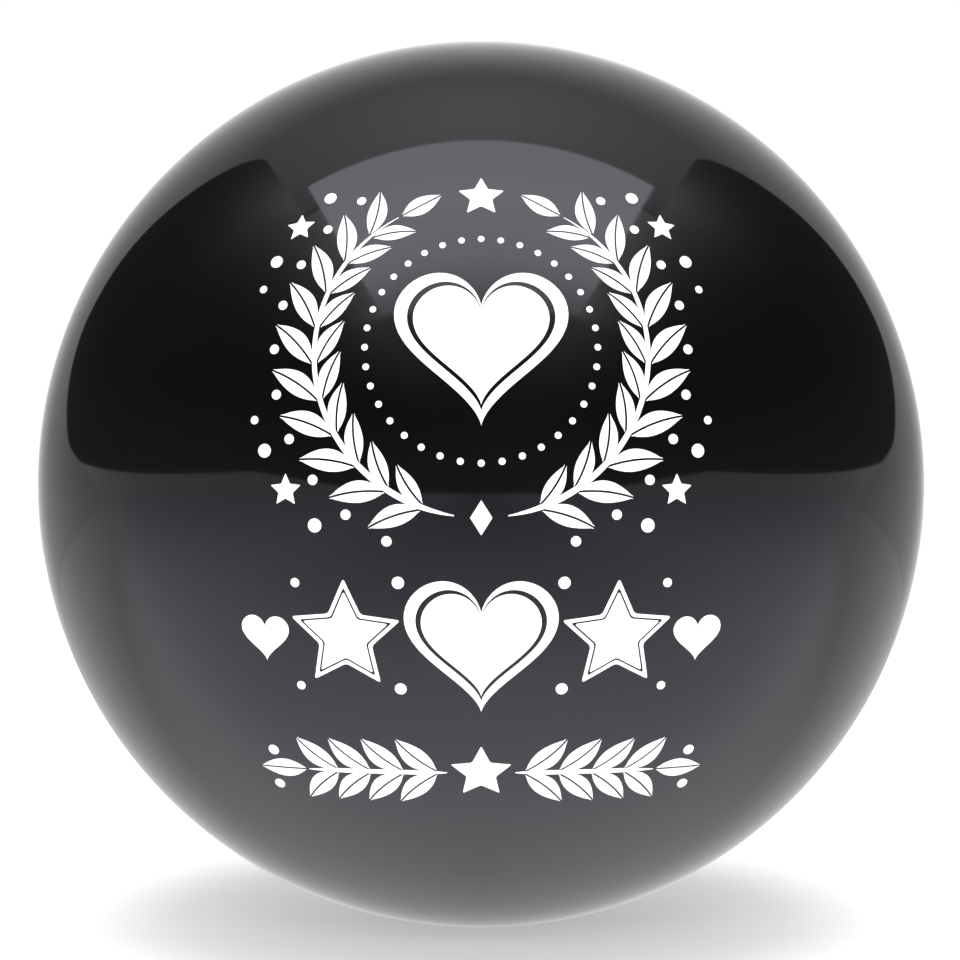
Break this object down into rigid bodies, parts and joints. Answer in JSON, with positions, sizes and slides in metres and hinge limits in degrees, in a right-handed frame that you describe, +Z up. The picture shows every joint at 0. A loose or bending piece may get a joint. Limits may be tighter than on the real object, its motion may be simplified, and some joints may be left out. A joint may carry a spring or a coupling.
{
  "type": "gender reveal balloon",
  "caption": "Jumbo round black latex balloon with a white printed front, a knotted pleated neck and a rolled lip, lying loose on the floor.",
  "frame": {"origin": "middle of the small flat spot that the balloon rests on", "axes": "+Z up from the floor to the top of the balloon; -Y the way the printed front faces; +Y the side where the tied neck and its tail lie; +X to the right as the front is looked at"},
  "size_m": [0.9134, 0.9139, 0.9112],
  "materials": {
    "latex": "glossy black natural latex, stretched thin, slightly duller and thicker at the neck, knot and lip",
    "print_ink": "white rubber ink, semi-gloss, printed flush on the front"
  },
  "bodies": {
    "root": {"balloon": "latex"}
  },
  "joints": []
}
